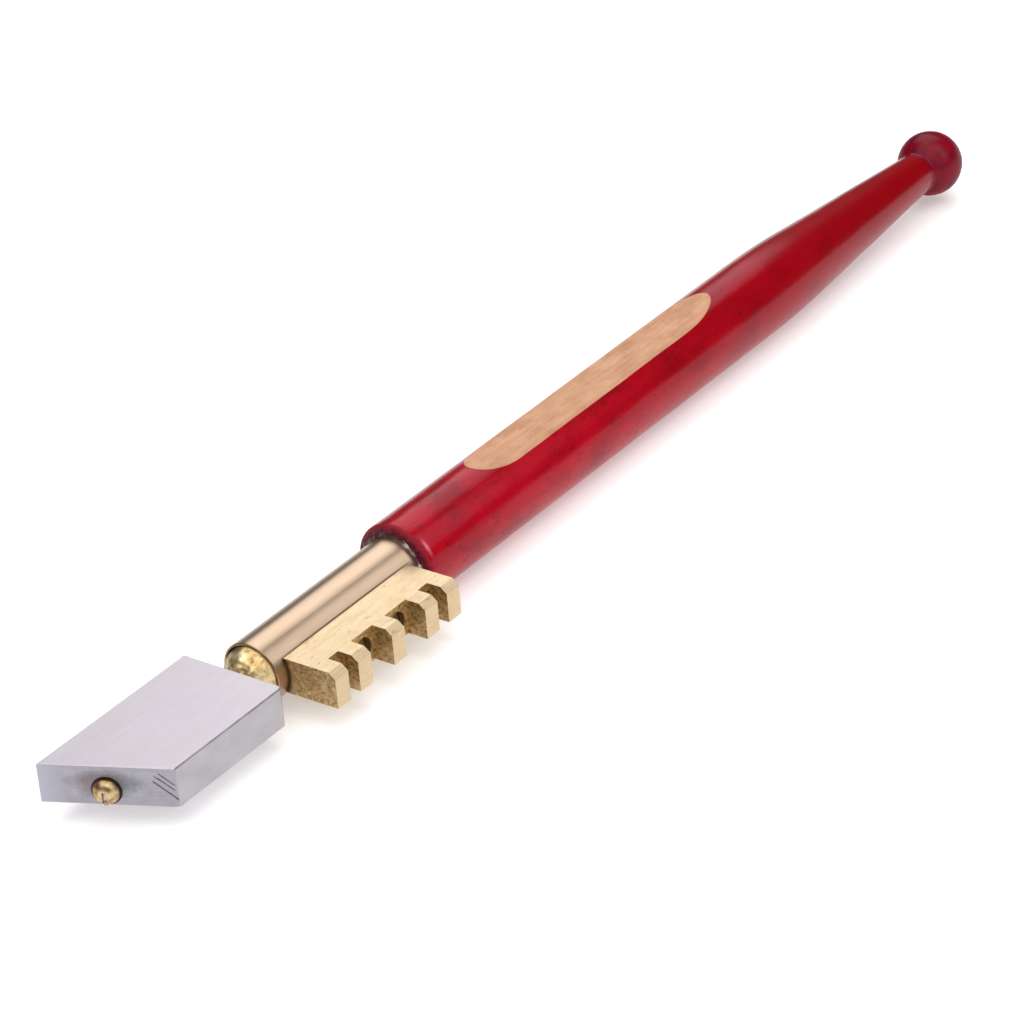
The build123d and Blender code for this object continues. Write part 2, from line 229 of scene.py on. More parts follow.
def ground_metal():
    """The head's broad faces: a pale satin, ground lengthwise, with faint clouds and specks.

    The comb's side is a little duller, and a dark stripe of painted shade lies along its top edge.
    """
    f = Finish("ground_metal")
    lines = f.noise((60, 3200, 3200), detail=5)
    clouds = f.noise((140, 260, 260), detail=5, roughness=0.6)
    pits = f.ramp(f.cells(700), (0.06, 0.0), (0.16, 1.0))
    colour = f.ramp(
        clouds,
        (0.3, (0.545, 0.505, 0.55)),
        (0.5, (0.59, 0.545, 0.59)),
        (0.72, (0.63, 0.575, 0.63)),
    )
    colour = f.streak(colour, 0.10, f.ramp(lines, (0.35, 0.55), (0.65, 1.0)))
    colour = f.stain(colour, f.flip(pits), 0.10, (0.32, 0.30, 0.34))
    y = f.axis("Y")
    dull = f.between(y, HEAD_LOW.y + 0.06 * MM, HEAD_LOW.y + 0.01 * MM)
    colour = f.stain(colour, dull, f.between(clouds, 0.0, 0.62), (0.40, 0.385, 0.405))
    # Painted shade: a dark stripe along the top edge over the comb's side.
    painted_edge_shade = f.near(f.axis("Z"), HEAD_HIGH.z - 0.07 * MM, 0.14 * MM)
    painted_edge_shade = f.times(painted_edge_shade, f.between(y, HEAD_LOW.y + 0.20 * MM, HEAD_LOW.y + 0.06 * MM))
    painted_edge_shade = f.times(painted_edge_shade, f.between(clouds, 0.30, 0.55))
    colour = f.stain(colour, painted_edge_shade, 0.85, (0.10, 0.09, 0.10))
    rough = f.plus(0.36, f.times(clouds, 0.16))
    bump = f.relief(clouds, 0.03 * MM, f.relief(lines, 0.006 * MM))
    return f.set(Colour=colour, Metallic=0.85, Roughness=rough, Normal=bump)


def stained_face():
    """The head's slanted front: duller, and smeared reddish and dark round the stud."""
    f = Finish("stained_face")
    y = f.axis("Y")
    lines = f.noise((500, 500, 5200), detail=4)
    clouds = f.noise(420, detail=6, roughness=0.65)
    across = f.maths("DIVIDE", y, 3.4 * MM)
    up = f.maths("DIVIDE", f.maths("SUBTRACT", f.axis("Z"), 0.1 * MM), 1.6 * MM)
    reach = f.plus(f.times(across, across), f.times(up, up))
    reach = f.plus(reach, f.times(f.maths("SUBTRACT", clouds, 0.5), 2.4))
    smear = f.flip(f.between(reach, 0.15, 1.5))
    colour = f.ramp(clouds, (0.3, (0.35, 0.335, 0.38)), (0.7, (0.46, 0.44, 0.50)))
    colour = f.streak(colour, 0.25, f.ramp(lines, (0.35, 0.6), (0.65, 1.0)))
    colour = f.mix(f.between(y, 3.5 * MM, 7.0 * MM), colour, (0.47, 0.46, 0.54))
    dirt = f.mix(f.between(y, 1.5 * MM, -1.5 * MM), (0.21, 0.15, 0.16), (0.135, 0.14, 0.145))
    colour = f.stain(colour, smear, 0.75, dirt)
    rough = f.plus(0.38, f.times(clouds, 0.2))
    bump = f.relief(lines, 0.012 * MM)
    return f.set(Colour=colour, Metallic=0.8, Roughness=rough, Normal=bump)


def file_mark():
    """The bottoms of the filed grooves."""
    f = Finish("file_mark")
    colour = f.ramp(f.noise(1500), (0.3, (0.10, 0.09, 0.10)), (0.7, (0.30, 0.28, 0.30)))
    return f.set(Colour=colour, Metallic=0.7, Roughness=0.6)


def drawn_brass():
    """The ferrule: pale pinkish brass drawn lengthwise, with a soft satin.

    It has painted shade along the seam where it meets the comb, and is darker at its mouth.
    """
    f = Finish("drawn_brass")
    x = f.axis("X")
    lines = f.noise((25, 4200, 4200), detail=4)
    clouds = f.noise((120, 420, 420), detail=4)
    colour = f.ramp(clouds, (0.3, (0.53, 0.385, 0.275)), (0.7, (0.60, 0.445, 0.32)))
    colour = f.streak(colour, 0.22, f.ramp(lines, (0.3, 0.6), (0.7, 1.0)))
    # Painted shade: darker along the seam where the ferrule meets the comb.
    painted_seam_shade = f.near(f.axis("Z"), COMB_HIGH.z, 0.11 * MM)
    painted_seam_shade = f.times(painted_seam_shade, f.between(f.axis("Y"), 0, -0.1 * MM))
    painted_seam_shade = f.times(painted_seam_shade, f.near(x, (COMB_LOW.x + COMB_HIGH.x) / 2, 13 * MM))
    colour = f.stain(colour, f.between(painted_seam_shade, 0.0, 0.25), 0.8, (0.16, 0.09, 0.045))
    mouth = f.between(x, TUBE_LOW.x + 0.16 * MM, TUBE_LOW.x + 0.06 * MM)
    colour = f.stain(colour, mouth, 0.7, (0.42, 0.27, 0.10))
    rough = f.plus(0.27, f.times(lines, 0.12))
    bump = f.relief(lines, 0.006 * MM)
    return f.set(Colour=colour, Metallic=1.0, Roughness=rough, Normal=bump)


def milled_brass():
    """The comb's broad faces: yellow brass with fine milling lines and dark nicks.

    The tips of the teeth are duller, and the comb is darkened with painted shade where it meets the
    ferrule.
    """
    f = Finish("milled_brass")
    lines = f.noise((90, 2600, 2600), detail=6, roughness=0.65)
    clouds = f.noise((300, 500, 500), detail=6, roughness=0.6)
    nicks = f.noise((700, 2400, 2400), detail=6, roughness=0.7)
    colour = f.ramp(
        clouds,
        (0.3, (0.62, 0.465, 0.27)),
        (0.55, (0.725, 0.57, 0.372)),
        (0.75, (0.79, 0.64, 0.455)),
    )
    colour = f.streak(colour, 0.28, f.ramp(lines, (0.3, 0.55), (0.6, 1.0)))
    colour = f.stain(colour, f.ramp(nicks, (0.59, 0.0), (0.66, 1.0)), 0.55, (0.22, 0.13, 0.05))
    tips = f.between(f.axis("Y"), COMB_LOW.y + 0.10 * MM, COMB_LOW.y + 0.03 * MM)
    colour = f.stain(colour, tips, 0.5, (0.55, 0.42, 0.25))
    # Painted shade: darker close to the ferrule, where the comb meets it.
    painted_shade_by_ferrule = f.between(f.off_axis(), TUBE_HIGH.y + 0.20 * MM, TUBE_HIGH.y + 0.10 * MM)
    colour = f.stain(colour, painted_shade_by_ferrule, 0.85, (0.13, 0.07, 0.03))
    rough = f.plus(0.30, f.times(clouds, 0.22))
    bump = f.relief(nicks, 0.020 * MM, f.relief(lines, 0.010 * MM))
    return f.set(Colour=colour, Metallic=0.95, Roughness=rough, Normal=bump)


def sawn_brass():
    """The comb's ends and notch walls: rough from the saw, brown in the low places."""
    f = Finish("sawn_brass")
    strokes = f.noise((1500, 1300, 3200), detail=5, roughness=0.7)
    grit = f.noise(2300, detail=6, roughness=0.75)
    height = f.plus(f.times(strokes, 0.45), f.times(grit, 0.55))
    colour = f.ramp(
        height,
        (0.37, (0.12, 0.06, 0.025)),
        (0.46, (0.40, 0.26, 0.115)),
        (0.55, (0.62, 0.44, 0.21)),
        (0.66, (0.84, 0.67, 0.38)),
    )
    # Painted shade: the sawn faces are darkened close to the ferrule, where the comb meets it.
    painted_shade_by_ferrule = f.between(f.off_axis(), TUBE_HIGH.y + 0.75 * MM, TUBE_HIGH.y + 0.15 * MM)
    colour = f.stain(colour, painted_shade_by_ferrule, 0.9, (0.045, 0.018, 0.010))
    bump = f.relief(height, 0.09 * MM)
    return f.set(Colour=colour, Metallic=0.85, Roughness=0.46, Normal=bump)


def drilled_brass():
    """Inside the comb's screw holes: dark, with the drill's rings."""
    f = Finish("drilled_brass")
    rings = f.noise((600, 5200, 600), detail=4)
    colour = f.ramp(rings, (0.3, (0.13, 0.07, 0.025)), (0.7, (0.34, 0.21, 0.08)))
    bump = f.relief(rings, 0.03 * MM)
    return f.set(Colour=colour, Metallic=0.8, Roughness=0.5, Normal=bump)


def cast_brass():
    """The ferrule's domed nose: golden and lumpy, with brown painted shade on its far side."""
    f = Finish("cast_brass")
    lumps = f.noise(650, detail=6, roughness=0.6)
    grit = f.noise(3800, detail=4)
    colour = f.ramp(
        lumps,
        (0.34, (0.40, 0.25, 0.085)),
        (0.46, (0.70, 0.50, 0.24)),
        (0.58, (0.90, 0.71, 0.39)),
        (0.70, (1.0, 0.86, 0.60)),
    )
    # Painted shade: the far (+Y) side of the dome is darkened brown.
    far = f.between(f.axis("Y"), 0.8 * MM, 2.8 * MM)
    colour = f.stain(colour, far, 0.65, (0.15, 0.10, 0.045))
    rough = f.plus(0.30, f.times(grit, 0.22))
    bump = f.relief(grit, 0.010 * MM, f.relief(lumps, 0.10 * MM))
    return f.set(Colour=colour, Metallic=0.95, Roughness=rough, Normal=bump)


def turned_brass():
    """The diamond's stud: mottled brass, with painted shade where it stands close to the head's
    face.
    """
    f = Finish("turned_brass")
    grit = f.noise(2600, detail=5)
    clouds = f.noise(1400, detail=5)
    colour = f.ramp(
        clouds,
        (0.34, (0.28, 0.16, 0.06)),
        (0.5, (0.51, 0.35, 0.17)),
        (0.66, (0.70, 0.54, 0.34)),
    )
    # Painted shade: darker where the stud stands close to the head's face.
    along = f.node("ShaderNodeVectorMath", {"operation": "DOT_PRODUCT"})
    f.feed(along.inputs[0], f.place)
    f.feed(along.inputs[1], tuple(FACE_NORMAL))
    face = FACE_MIDDLE.dot(FACE_NORMAL)
    proud = f.between(along.outputs["Value"], face, face + 0.8 * MM)
    colour = f.stain(colour, f.flip(proud), 0.75, (0.22, 0.12, 0.04))
    rough = f.plus(0.26, f.times(grit, 0.2))
    bump = f.relief(grit, 0.02 * MM, f.relief(clouds, 0.05 * MM))
    return f.set(Colour=colour, Metallic=0.95, Roughness=rough, Normal=bump)


def mottled_metal(name, dark, light, rough, count=1800):
    """A small plain part of steel, solder, braze or dull brass."""
    f = Finish(name)
    grit = f.noise(count, detail=5, roughness=0.65)
    colour = f.ramp(grit, (0.3, dark), (0.7, light))
    bump = f.relief(grit, 0.02 * MM)
    return f.set(Colour=colour, Metallic=0.9, Roughness=rough, Normal=bump)


def rough_diamond():
    """A grey industrial diamond: glassy, with cloudy streaks."""
    f = Finish("rough_diamond")
    colour = f.ramp(f.noise(3000), (0.35, (0.10, 0.10, 0.12)), (0.65, (0.42, 0.40, 0.44)))
    return f.set(Colour=colour, IOR=2.2, Roughness=0.12)


def red_lacquer():
    """Clear red lacquer over turned wood: streaked along the grain, blotchy and specked.

    It darkens towards the tail, and has painted highlights, pale pink glints of the rim's
    reflection, behind the front rim on the comb's side.
    """
    f = Finish("red_lacquer")
    x = f.axis("X")
    grain = f.noise((28, 900, 900), detail=6, roughness=0.6, distortion=0.3)
    blotch = f.noise((130, 260, 260), detail=6, roughness=0.62)
    colour = f.ramp(
        blotch,
        (0.36, (0.27, 0.0003, 0.005)),
        (0.5, (0.40, 0.0005, 0.008)),
        (0.64, (0.46, 0.0008, 0.012)),
    )
    colour = f.streak(colour, 0.22, f.ramp(grain, (0.36, 0.5), (0.58, 1.0)))
    specks = f.noise((520, 1100, 1100), detail=5, roughness=0.7)
    colour = f.streak(colour, 0.75, f.ramp(specks, (0.56, 1.0), (0.70, 0.25)))
    colour = f.stain(colour, f.between(x, 20 * MM, 90 * MM), 0.85, (0.225, 0.0002, 0.002))
    # Painted highlight: pale pink arcs behind the front rim on the comb's side, standing for the
    # rim's reflection.
    painted_rim_glints = f.near(x, HANDLE_LOW.x + 1.1 * MM, 0.35 * MM)
    painted_rim_glints = f.times(painted_rim_glints, f.ramp(blotch, (0.40, 0.2), (0.55, 1.0)))
    painted_rim_glints = f.times(painted_rim_glints, f.near(f.axis("Y"), -4.1 * MM, 0.9 * MM))
    colour = f.stain(colour, painted_rim_glints, 0.7, (0.75, 0.30, 0.36))
    by_ball = f.between(x, ball_joint() - 1.2 * MM, ball_joint())
    colour = f.mix(by_ball, colour, (0.155, 0.002, 0.015))
    waves = f.noise((70, 420, 420), detail=2)
    bump = f.relief(grain, 0.004 * MM, f.relief(waves, 0.05 * MM))
    f.set(IOR=1.305, Specular_Tint=(1.0, 0.60, 0.86))
    return f.set(Colour=colour, Roughness=0.22, Normal=bump)


def ball_lacquer():
    """The ball's thicker, duller and browner coat."""
    f = Finish("ball_lacquer")
    blotch = f.noise(260, detail=5, roughness=0.6)
    colour = f.ramp(
        blotch,
        (0.36, (0.12, 0.0015, 0.012)),
        (0.5, (0.155, 0.002, 0.015)),
        (0.64, (0.23, 0.002, 0.009)),
    )
    f.set(Specular_IOR_Level=0.0, Coat_Weight=0.45, Coat_Roughness=0.3, Coat_IOR=1.38)
    return f.set(Colour=colour, Roughness=0.6, Normal=f.relief(blotch, 0.06 * MM))


def bare_wood():
    """The planed flat: unfinished pale wood, with fine pores and olive patches along the grain."""
    f = Finish("bare_wood")
    streaks = f.noise((22, 700, 700), detail=6, roughness=0.6, distortion=0.6)
    fibre = f.noise((130, 4200, 4200), detail=4, roughness=0.7)
    flecks = f.noise((420, 2600, 2600), detail=3)
    patches = f.noise((300, 520, 520), detail=4, roughness=0.6)
    olive = f.noise((338, 910, 910), detail=4)
    colour = f.ramp(
        f.plus(f.times(streaks, 0.45), f.times(patches, 0.55)),
        (0.36, (0.50, 0.235, 0.120)),
        (0.48, (0.62, 0.315, 0.180)),
        (0.60, (0.71, 0.390, 0.235)),
    )
    colour = f.stain(colour, f.ramp(olive, (0.50, 0.0), (0.62, 1.0)), 0.35, (0.56, 0.36, 0.17))
    colour = f.streak(colour, 0.22, f.ramp(fibre, (0.35, 0.62), (0.62, 1.0)))
    colour = f.stain(colour, f.ramp(flecks, (0.62, 0.0), (0.72, 1.0)), 0.4, (0.36, 0.13, 0.07))
    return f.set(Colour=colour, Roughness=0.72, Normal=f.relief(fibre, 0.03 * MM))


def dark_end_grain():
    """The handle's front face: end grain soaked dark with lacquer, and redder at its rim."""
    f = Finish("dark_end_grain")
    pores = f.noise(1800, detail=6, roughness=0.7)
    colour = f.ramp(
        pores,
        (0.38, (0.046, 0.005, 0.012)),
        (0.55, (0.180, 0.016, 0.036)),
        (0.70, (0.31, 0.058, 0.075)),
    )
    rim = f.between(f.off_axis(), HANDLE_RADIUS - 0.75 * MM, HANDLE_RADIUS - 0.10 * MM)
    colour = f.stain(colour, rim, 0.75, (0.32, 0.004, 0.016))
    f.set(Specular_IOR_Level=0.2)
    return f.set(Colour=colour, Roughness=0.55, Normal=f.relief(pores, 0.12 * MM))


def dried_glue():
    """Whitish glue, cloudy and a little shiny, and dark brown away from the comb's side."""
    f = Finish("dried_glue")
    clouds = f.noise(1100, detail=5)
    pale = f.ramp(
        clouds,
        (0.42, (0.16, 0.10, 0.09)),
        (0.54, (0.42, 0.36, 0.32)),
        (0.66, (0.74, 0.70, 0.65)),
    )
    darker_glue = f.ramp(clouds, (0.40, (0.035, 0.014, 0.012)), (0.65, (0.10, 0.055, 0.045)))
    colour = f.mix(f.between(f.axis("Y"), -0.6 * MM, -2.6 * MM), darker_glue, pale)
    return f.set(Colour=colour, Roughness=0.35, Normal=f.relief(clouds, 0.08 * MM))


def studio_floor():
    """A plain pale light table: faintly toothed, and lit a little from below."""
    f = Finish("studio_floor")
    tooth = f.noise(900, detail=3)
    colour = f.ramp(tooth, (0.3, 0.90), (0.7, 0.93))
    f.set(Emission_Color=(1.0, 1.0, 1.0), Emission_Strength=0.32)
    return f.set(Colour=colour, Roughness=0.9, Normal=f.relief(tooth, 0.02 * MM))


# ---------------------------------------------------------------- pieces


def add_piece(name, mesh, materials, body):
    """Puts a mesh in the scene as a piece that rides on a body and takes a slot's finish."""
    for material in materials:
        mesh.materials.append(material)
    piece = bpy.data.objects.new(name, mesh)
    bpy.context.scene.collection.objects.link(piece)
    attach(piece, body)
    return piece


def to_mesh(name, shape):
    """Turns a bmesh into a mesh of its own and frees it."""
    mesh = bpy.data.meshes.new(name)
    shape.to_mesh(mesh)
    shape.free()
    return mesh


def shade(mesh, degrees, broad=1.0):
    """Smooth shading, but sharp over the given angle and on faces broader than so many mm2."""
    mesh.set_sharp_from_angle(angle=math.radians(degrees))
    mesh.polygons.foreach_set("use_smooth", [face.area < broad * MM * MM for face in mesh.polygons])


def arc(centre, radius, start, end, steps):
    """Points along an arc; angles in degrees from the first axis towards the second."""
    angles = [math.radians(start + (end - start) * i / steps) for i in range(steps + 1)]
    return [(centre[0] + radius * math.cos(a), centre[1] + radius * math.sin(a)) for a in angles]


def lathe(profile, segments, shift=None):
    """A closed skin turned about X from (x, radius) points; shift moves each point."""
    shape = bmesh.new()
    rings = []
    for x, radius in profile:
        if radius < 1e-6:
            rings.append([shape.verts.new((x, 0, 0))])
            continue
        ring = []
        for i in range(segments):
            angle = math.tau * i / segments
            point = Vector((x, radius * math.cos(angle), radius * math.sin(angle)))
            ring.append(shape.verts.new(shift(point, angle) if shift else point))
        rings.append(ring)
    for a, b in zip(rings, rings[1:]):
        for i in range(segments):
            j = (i + 1) % segments
            corners = [a[i % len(a)], a[j % len(a)], b[j % len(b)], b[i % len(b)]]
            unique = list(dict.fromkeys(corners))
            shape.faces.new(unique)
    bmesh.ops.recalc_face_normals(shape, faces=shape.faces)
    return shape


def cut_away(mesh, cutter_mesh):
    """The mesh with the cutter's volume taken out of it."""
    solid = bpy.data.objects.new("solid", mesh)
    cutter = bpy.data.objects.new("cutter", cutter_mesh)
    for thing in (solid, cutter):
        bpy.context.scene.collection.objects.link(thing)
    cut = solid.modifiers.new("cut", "BOOLEAN")
    cut.operation = "DIFFERENCE"
    cut.solver = "EXACT"
    cut.object = cutter
    bpy.context.view_layer.update()
    evaluated = solid.evaluated_get(bpy.context.evaluated_depsgraph_get())
    result = bpy.data.meshes.new_from_object(evaluated)
    for thing in (solid, cutter):
        bpy.data.objects.remove(thing)
    return result


def prism(outline, depth):
    """A closed prism with the outline in XZ, reaching depth to each side along Y."""
    shape = bmesh.new()
    near = [shape.verts.new((x, -depth, z)) for x, z in outline]
    far = [shape.verts.new((x, depth, z)) for x, z in outline]
    shape.faces.new(near)
    shape.faces.new(far[::-1])
    for i in range(len(outline)):
        j = (i + 1) % len(outline)
        shape.faces.new([near[j], near[i], far[i], far[j]])
    bmesh.ops.recalc_face_normals(shape, faces=shape.faces)
    return shape


def worked_copy(node, bevel):
    """The CAD node's shape with clean flat faces and slightly rounded edges."""
    shape = bmesh.new()
    shape.from_mesh(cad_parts[node].data)
    bmesh.ops.remove_doubles(shape, verts=shape.verts, dist=1e-7)
    bmesh.ops.dissolve_limit(
        shape, angle_limit=math.radians(0.6), verts=shape.verts, edges=shape.edges, delimit=set()
    )
    edges = [e for e in shape.edges if e.is_manifold and e.calc_face_angle(0) > math.radians(32)]
    bmesh.ops.bevel(
        shape,
        geom=edges,
        offset=bevel,
        offset_type="OFFSET",
        segments=2,
        profile=0.5,
        affect="EDGES",
        clamp_overlap=True,
    )
    bmesh.ops.recalc_face_normals(shape, faces=shape.faces)
    return shape


def sort_faces(mesh, rule):
    """Gives each face the material whose number the rule returns for it."""
    for face in mesh.polygons:
        face.material_index = rule(Vector(face.center), Vector(face.normal))


def build_head():
    """The head block: softened edges, and a few file strokes on the short end of its face."""
    mesh = to_mesh("head_detail", worked_copy("head_block", 0.03 * MM))
    across = Vector((0, 0, 1)).cross(FACE_NORMAL)
    turn = Matrix((FACE_NORMAL, across, Vector((0, 0, 1)))).transposed().to_4x4()
    lean = Matrix.Rotation(math.radians(FILE_LEAN), 4, "X")
    for y, z, depth, length in FILE_STROKES:
        wedge = [(-depth * MM, 0), (FILE_PROUD, FILE_OPENING), (FILE_PROUD, -FILE_OPENING)]
        groove = prism(wedge, length * MM)
        spot = FACE_MIDDLE + across * (y * MM / across.y) + Vector((0, 0, z * MM))
        place = Matrix.Translation(spot) @ turn @ lean
        bmesh.ops.transform(groove, matrix=place, verts=groove.verts)
        mesh = cut_away(mesh, to_mesh("groove", groove))
    mesh.name = "head_detail"

    def rule(centre, normal):
        facing = normal.dot(FACE_NORMAL)
        depth = (FACE_MIDDLE - centre).dot(FACE_NORMAL)
        inside = HEAD_LOW.y + 0.3 * MM < centre.y < -3 * MM and abs(centre.z) < 2.1 * MM
        if 0.001 * MM < depth < 0.2 * MM and 0.3 < facing < 0.97 and inside:
            return 2
        return 1 if facing > 0.75 else 0

    sort_faces(mesh, rule)
    shade(mesh, 35, 0.6)
    piece = add_piece("head_detail", mesh, [METAL, FACE, MARK], "head")
    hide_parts("head_block")


def build_comb():
    """The comb: softened edges, sawn ends and notch walls, dark drilled holes."""
    mesh = to_mesh("comb_detail", worked_copy("comb_bar", 0.09 * MM))
    root = COMB_LOW.y + NOTCH_DEPTH

    def rule(centre, normal):
        off_ends = COMB_LOW.x + 0.2 * MM < centre.x < COMB_HIGH.x - 0.2 * MM
        if centre.y > root + 0.02 * MM and off_ends:
            inside = abs(centre.z) < COMB_HOLE_REACH and centre.y < COMB_HIGH.y - 0.8 * MM
            return 2 if inside else 0
        walls = abs(normal.x) > 0.8
        floors = normal.y < -0.8 and centre.y > root - 0.1 * MM
        return 1 if walls or floors else 0

    sort_faces(mesh, rule)
    shade(mesh, 35, 0.6)
    piece = add_piece("comb_detail", mesh, [MILLED, SAWN, DRILLED], "grip")
    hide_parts("comb_bar")


def handle_profile():
    """The handle's outline from its front face to the end of its ball."""
    slope = (HANDLE_RADIUS - NECK_RADIUS) / (ball_joint() - SHOULDER)
    turn = math.atan(slope)
    tangent = SHOULDER_RADIUS * math.tan(turn / 2)
    profile = [(HANDLE_LOW.x + SOCKET_DEPTH, 0), (HANDLE_LOW.x + SOCKET_DEPTH, SOCKET_RADIUS)]
    profile += [(HANDLE_LOW.x, SOCKET_RADIUS), (HANDLE_LOW.x, SOCKET_RADIUS + 0.32 * MM)]
    start = HANDLE_LOW.x + HANDLE_EDGE
    profile += arc((start, HANDLE_RADIUS - HANDLE_EDGE), HANDLE_EDGE, 180, 90, 7)
    grip_end = SHOULDER - tangent
    steps = 64
    profile += [(start + (grip_end - start) * i / steps, HANDLE_RADIUS) for i in range(1, steps)]
    bend_centre = (grip_end, HANDLE_RADIUS - SHOULDER_RADIUS)
    bend = arc(bend_centre, SHOULDER_RADIUS, 90, 90 - math.degrees(turn), 10)
    crease_start, crease, ball_start = neck_crease(slope)
    steps = 26
    neck = [Vector(bend[-1]).lerp(crease_start, i / steps) for i in range(1, steps)]
    return profile + bend + [tuple(point) for point in neck] + crease + ball_outline(ball_start)


def ball_outline(start):
    """The ball's outline from the end of the crease to its tip."""
    join = math.degrees(math.atan2(start.y, start.x - BALL_CENTRE))
    points = arc((BALL_CENTRE, 0), BALL_RADIUS, join, 0, 32)
    return points[1:-1] + [(BALL_CENTRE + BALL_RADIUS, 0)]


def neck_crease(slope):
    """The small hollow where the neck meets the ball: its two ends and the points of its arc."""
    along = Vector((1, -slope)).normalized()
    outward = Vector((slope, 1)).normalized()
    ball = Vector((BALL_CENTRE, 0))
    away = Vector((ball_joint(), NECK_RADIUS)) + outward * CREASE_RADIUS - ball
    reach = BALL_RADIUS + CREASE_RADIUS
    back = away.dot(along)
    centre = ball + away + along * (-back - math.sqrt(back * back - away.dot(away) + reach * reach))
    first = centre - outward * CREASE_RADIUS
    last = ball + (centre - ball) * (BALL_RADIUS / reach)
    angles = [math.degrees(math.atan2(p.y - centre.y, p.x - centre.x)) % 360 for p in (first, last)]
    return first, arc(centre, CREASE_RADIUS, angles[0], angles[1], 8), last


def ball_joint():
    """Where the neck meets the ball."""
    return BALL_CENTRE - math.sqrt(BALL_RADIUS**2 - NECK_RADIUS**2)


def hand_turned(point, angle):
    """A little less than round: shallow ripples of the turning, never proud of the outline."""
    if point.x < HANDLE_LOW.x + 0.01 * MM or Vector((point.y, point.z)).length < SOCKET_RADIUS:
        return point
    ripple = noise.noise(Vector((point.x * 240, point.y * 120, point.z * 120)))
    inward = 0.025 * MM * (1 + ripple)
    radial = Vector((0, point.y, point.z))
    return point - radial.normalized() * inward


def swept_end(end, inward, radius):
    """Where one end of the planed flat sweeps up out of the wood, from level upwards."""
    level = HANDLE_RADIUS - FLAT_DEPTH
    start = end + inward * math.sqrt(2 * radius * FLAT_DEPTH - FLAT_DEPTH**2)
    turn = math.degrees(math.acos(1 - 2 * FLAT_DEPTH / radius))
    return arc((start, level + radius), radius, -90, -90 - inward * turn, 16)


def planing_outline():
    """The side view of what was planed off the top of the handle."""
    front = swept_end(FLAT_FRONT, 1, FLAT_FRONT_SWEEP)
    rear = swept_end(FLAT_REAR, -1, FLAT_REAR_SWEEP)
    top = HANDLE_RADIUS + 4 * MM
    return front[::-1] + rear + [(rear[-1][0], top), (front[-1][0], top)]


def build_handle():
    """The handle: turned, planed flat on top, lacquered red and left bare on the flat."""
    body = to_mesh("handle_detail", lathe(handle_profile(), 144, hand_turned))
    mesh = cut_away(body, to_mesh("plane", prism(planing_outline(), HANDLE_RADIUS * 1.2)))
    mesh.name = "handle_detail"
    level = HANDLE_RADIUS - FLAT_DEPTH

    def rule(centre, normal):
        radius = math.hypot(centre.y, centre.z)
        if radius < SOCKET_RADIUS + 0.01 * MM and centre.x < FLAT_FRONT:
            return 2
        if centre.x < HANDLE_LOW.x + 0.75 * HANDLE_EDGE:
            return 2
        if centre.x > ball_joint():
            return 3
        flat = FLAT_FRONT < centre.x < FLAT_REAR and centre.z > level - 0.01 * MM
        return 1 if flat and normal.z > 0.955 and abs(normal.y) < 0.02 else 0

    sort_faces(mesh, rule)
    shade(mesh, 24)
    finishes = [LACQUER, WOOD, END_GRAIN, BALL]
    piece = add_piece("handle_detail", mesh, finishes, "grip")
    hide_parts("handle")


def build_nose():
    """The ferrule's core: its nose is a rough dome, creased into two lobes over the stem."""
    radius = CORE_HIGH.y
    dome_centre = CORE_LOW.x + DOME_DEPTH
    rim = math.degrees(math.acos(-DOME_DEPTH / radius))
    profile = [(STEM_BORE_END, 0), (STEM_BORE_END, STEM_BORE), (CORE_LOW.x, STEM_BORE)]
    profile += arc((dome_centre, 0), radius, rim, 90, 26)
    profile += [(dome_centre + 1 * MM, radius), (CORE_HIGH.x, radius), (CORE_HIGH.x, 0)]
    crease = math.radians(110)

    def dents(point, angle):
        out = Vector((0, point.y, point.z)).length
        if point.x > dome_centre or out < STEM_BORE + 0.01 * MM:
            return point
        near = math.exp(-(((angle - crease + math.pi) % math.tau - math.pi) / 0.23) ** 2)
        fade = min(1, (dome_centre - point.x) / (1.0 * MM))
        lump = noise.fractal(point * 900, 0.8, 2.1, 4)
        sink = fade * (0.30 * MM * near + 0.10 * MM * (1 + max(-1, min(1, lump))))
        normal = Vector((point.x - dome_centre, point.y, point.z)).normalized()
        return point - normal * sink

    mesh = to_mesh("nose_detail", lathe(profile, 128, dents))
    shade(mesh, 40)
    piece = add_piece("nose_detail", mesh, [CAST], "grip")
    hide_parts("ferrule_core")


def build_glue():
    """The glue round the ferrule: a thin uneven bead that thins out to nothing in places."""
    inner = TUBE_HIGH.y + 0.01 * MM
    depth = BEAD_HIGH.x - BEAD_LOW.x
    width = BEAD_HIGH.y - inner
    steps = 9
    profile = [(BEAD_HIGH.x, inner)]
    for i in range(steps + 1):
        share = i / steps
        profile.append((BEAD_LOW.x + depth * share, inner + width * share**1.6 + 0.01 * MM))
    profile.append((BEAD_HIGH.x, inner))

    def lumpy(point, angle):
        around = Vector((math.cos(angle) * 2.4, math.sin(angle) * 2.4, 0.3))
        swell = noise.fractal(around, 0.7, 2.0, 5)
        size = max(0.06, min(1.0, 0.34 + 0.55 * swell))
        out = math.hypot(point.y, point.z)
        reach = inner + (out - inner) * size
        x = BEAD_HIGH.x - (BEAD_HIGH.x - point.x) * size
        return Vector((x, reach * math.cos(angle), reach * math.sin(angle)))

    mesh = to_mesh("glue_detail", lathe(profile, 200, lumpy))
    shade(mesh, 60)
    piece = add_piece("glue_detail", mesh, [GLUE], "grip")
    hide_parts("glue_bead")


def finish_node(node, material):
    """Gives a CAD node that keeps its own shape its finished material."""
    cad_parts[node].data.materials.clear()
    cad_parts[node].data.materials.append(material)


# ---------------------------------------------------------------- studio


